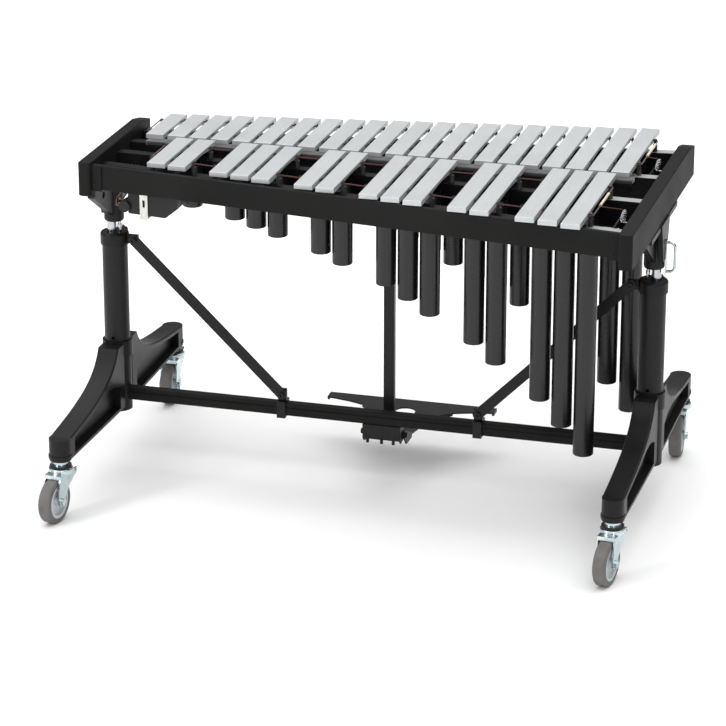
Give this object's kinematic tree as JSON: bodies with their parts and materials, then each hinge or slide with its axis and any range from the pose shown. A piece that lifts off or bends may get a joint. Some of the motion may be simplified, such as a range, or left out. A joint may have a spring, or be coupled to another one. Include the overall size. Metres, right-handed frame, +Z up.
{
  "type": "vibraphone",
  "caption": "Free-standing vibraphone: rows of metal bars over tuned resonator tubes, damper pedal, fan motor, and a height-adjustable stand on casters.",
  "frame": {"origin": "middle of the footprint on the floor", "axes": "+X along the keyboard towards the low notes, +Y from the audience side to the player side, +Z up"},
  "size_m": [1.4574, 0.9942, 0.84],
  "materials": {
    "bar_aluminium": "satin anodised silver",
    "frame_black": "satin black paint",
    "black_paint": "satin black powder coat",
    "resonator_black": "satin black anodised tube",
    "rail_aluminium": "dull grey anodised",
    "chrome": "bright chrome plate",
    "zinc_steel": "bright zinc plate",
    "black_steel": "black oxide",
    "grey_rubber": "grey rubber tread",
    "hub_plastic": "light grey moulded",
    "black_plastic": "fine-grained black",
    "brown_cord": "braided brown cord",
    "belt_rubber": "amber drive belt",
    "pale_sleeve": "cream sleeve over the cord",
    "felt": "dense dark felt",
    "spring_steel": "bright spring wire",
    "post_metal": "grey post with rubber shoe",
    "cast_black": "black painted casting",
    "bracket_silver": "plain bent steel"
  },
  "bodies": {
    "base": {"left_leg_casting": "cast_black", "right_leg_casting": "cast_black", "outer_sleeves": "black_paint", "sleeve_collars": "cast_black", "stretcher_beam": "frame_black", "braces": "black_paint", "brace_clamps": "black_steel", "stand_bolts": "black_steel", "pedal_bracket": "black_steel", "pedal_hinge_pin": "black_steel", "caster_stems": "zinc_steel"},
    "instrument_frame": {"left_end_block": "frame_black", "right_end_block": "frame_black", "front_fascia": "frame_black", "outer_rails": "rail_aluminium", "inner_rails": "rail_aluminium", "bar_posts": "post_metal", "bar_cords": "brown_cord", "cord_guards": "pale_sleeve", "cord_springs": "spring_steel", "natural_bars": "bar_aluminium", "accidental_bars": "bar_aluminium", "natural_resonators": "resonator_black", "accidental_resonators": "resonator_black", "resonator_bank_frames": "black_steel", "motor_housing": "black_plastic", "power_inlet": "black_plastic", "motor_bracket": "bracket_silver", "drive_belts": "belt_rubber", "inner_posts": "chrome", "guide_rods": "chrome", "left_post_bracket": "cast_black", "right_post_bracket": "cast_black"},
    "natural_fan": {"natural_fan_shaft": "spring_steel", "natural_fan_pulley": "black_plastic"},
    "accidental_fan": {"accidental_fan_shaft": "spring_steel", "accidental_fan_pulley": "black_plastic"},
    "motor_rotor": {"motor_spindle": "black_steel"},
    "damper": {"damper_bar": "rail_aluminium", "damper_felt": "felt", "upper_damper_rod": "black_steel"},
    "damper_pull": {"lower_damper_rod": "black_paint"},
    "pedal": {"pedal_plate": "black_paint"},
    "lock": {"lock_handle": "chrome"},
    "left_knob": {"left_height_knob": "black_plastic"},
    "right_knob": {"right_height_knob": "black_plastic"},
    "left_front_swivel": {"left_front_caster_fork": "zinc_steel"},
    "left_front_wheel": {"left_front_caster_tyre": "grey_rubber", "left_front_caster_hub": "hub_plastic"},
    "left_rear_swivel": {"left_rear_caster_fork": "zinc_steel"},
    "left_rear_wheel": {"left_rear_caster_tyre": "grey_rubber", "left_rear_caster_hub": "hub_plastic"},
    "left_rear_brake": {"left_rear_caster_brake": "black_steel"},
    "right_front_swivel": {"right_front_caster_fork": "zinc_steel"},
    "right_front_wheel": {"right_front_caster_tyre": "grey_rubber", "right_front_caster_hub": "hub_plastic"},
    "right_rear_swivel": {"right_rear_caster_fork": "zinc_steel"},
    "right_rear_wheel": {"right_rear_caster_tyre": "grey_rubber", "right_rear_caster_hub": "hub_plastic"},
    "right_rear_brake": {"right_rear_caster_brake": "black_steel"}
  },
  "joints": [
    {"name": "height_slide", "type": "slide", "parent": "base", "child": "instrument_frame", "axis": [0, 0, 1], "range_m": [0, 0.15]},
    {"name": "natural_fan_spin", "type": "hinge", "parent": "instrument_frame", "child": "natural_fan", "pos_m": [-0.01475, 0.22492, 0.77], "axis": [0.9965, 0.0834, 0], "continuous": true},
    {"name": "accidental_fan_spin", "type": "hinge", "parent": "instrument_frame", "child": "accidental_fan", "pos_m": [-0.01475, -0.08607, 0.77], "axis": [0.9959, -0.0908, 0], "continuous": true},
    {"name": "motor_spin", "type": "hinge", "parent": "instrument_frame", "child": "motor_rotor", "pos_m": [-0.61475, -0.10977, 0.722], "axis": [1, 0, 0], "continuous": true},
    {"name": "damper_lift", "type": "slide", "parent": "instrument_frame", "child": "damper", "axis": [0, 0, -1], "range_m": [0, 0.0102]},
    {"name": "damper_pull_slide", "type": "slide", "parent": "base", "child": "damper_pull", "axis": [0, 0, -1], "range_m": [0, 0.0102]},
    {"name": "pedal_hinge", "type": "hinge", "parent": "base", "child": "pedal", "pos_m": [0.00525, 0.03023, 0.128], "axis": [-1, 0, 0], "range_deg": [0, 12.5], "stiffness_Nm_per_rad": 8, "springref_deg": -34.38},
    {"name": "lock_pull", "type": "slide", "parent": "instrument_frame", "child": "lock", "axis": [1, 0, 0], "range_m": [0, 0.006], "stiffness_N_per_m": 900, "springref_m": -0.004},
    {"name": "left_knob_turn", "type": "hinge", "parent": "base", "child": "left_knob", "pos_m": [-0.69075, 0.06023, 0.584], "axis": [0, 1, 0], "range_deg": [0, 360]},
    {"name": "right_knob_turn", "type": "hinge", "parent": "base", "child": "right_knob", "pos_m": [0.67525, 0.06023, 0.584], "axis": [0, 1, 0], "range_deg": [0, 360]},
    {"name": "left_front_swivel_turn", "type": "hinge", "parent": "base", "child": "left_front_swivel", "pos_m": [-0.69075, -0.40477, 0.13], "axis": [0, 0, 1], "continuous": true},
    {"name": "left_front_wheel_roll", "type": "hinge", "parent": "left_front_swivel", "child": "left_front_wheel", "pos_m": [-0.69654, -0.44131, 0.055], "axis": [0.9877, -0.1564, 0], "continuous": true},
    {"name": "left_rear_swivel_turn", "type": "hinge", "parent": "base", "child": "left_rear_swivel", "pos_m": [-0.69075, 0.43523, 0.13], "axis": [0, 0, 1], "continuous": true},
    {"name": "left_rear_wheel_roll", "type": "hinge", "parent": "left_rear_swivel", "child": "left_rear_wheel", "pos_m": [-0.68817, 0.39832, 0.055], "axis": [0.9976, 0.0698, 0], "continuous": true},
    {"name": "left_rear_brake_press", "type": "hinge", "parent": "left_rear_swivel", "child": "left_rear_brake", "pos_m": [-0.69298, 0.46715, 0.1155], "axis": [-0.9976, -0.0698, 0], "range_deg": [0, 16], "stiffness_Nm_per_rad": 1.2, "springref_deg": -8.59},
    {"name": "right_front_swivel_turn", "type": "hinge", "parent": "base", "child": "right_front_swivel", "pos_m": [0.67525, -0.40477, 0.13], "axis": [0, 0, 1], "continuous": true},
    {"name": "right_front_wheel_roll", "type": "hinge", "parent": "right_front_swivel", "child": "right_front_wheel", "pos_m": [0.66946, -0.44131, 0.055], "axis": [0.9877, -0.1564, 0], "continuous": true},
    {"name": "right_rear_swivel_turn", "type": "hinge", "parent": "base", "child": "right_rear_swivel", "pos_m": [0.67525, 0.43523, 0.13], "axis": [0, 0, 1], "continuous": true},
    {"name": "right_rear_wheel_roll", "type": "hinge", "parent": "right_rear_swivel", "child": "right_rear_wheel", "pos_m": [0.67783, 0.39832, 0.055], "axis": [0.9976, 0.0698, 0], "continuous": true},
    {"name": "right_rear_brake_press", "type": "hinge", "parent": "right_rear_swivel", "child": "right_rear_brake", "pos_m": [0.67302, 0.46715, 0.1155], "axis": [-0.9976, -0.0698, 0], "range_deg": [0, 16], "stiffness_Nm_per_rad": 1.2, "springref_deg": -8.59}
  ],
  "couplings": [
    {"joint": "accidental_fan_spin", "follows": "natural_fan_spin", "ratio": 1},
    {"joint": "motor_spin", "follows": "natural_fan_spin", "ratio": 1.4651},
    {"joint": "damper_lift", "follows": "pedal_hinge", "m_per_rad": 0.046},
    {"joint": "damper_pull_slide", "follows": "pedal_hinge", "m_per_rad": 0.046}
  ]
}
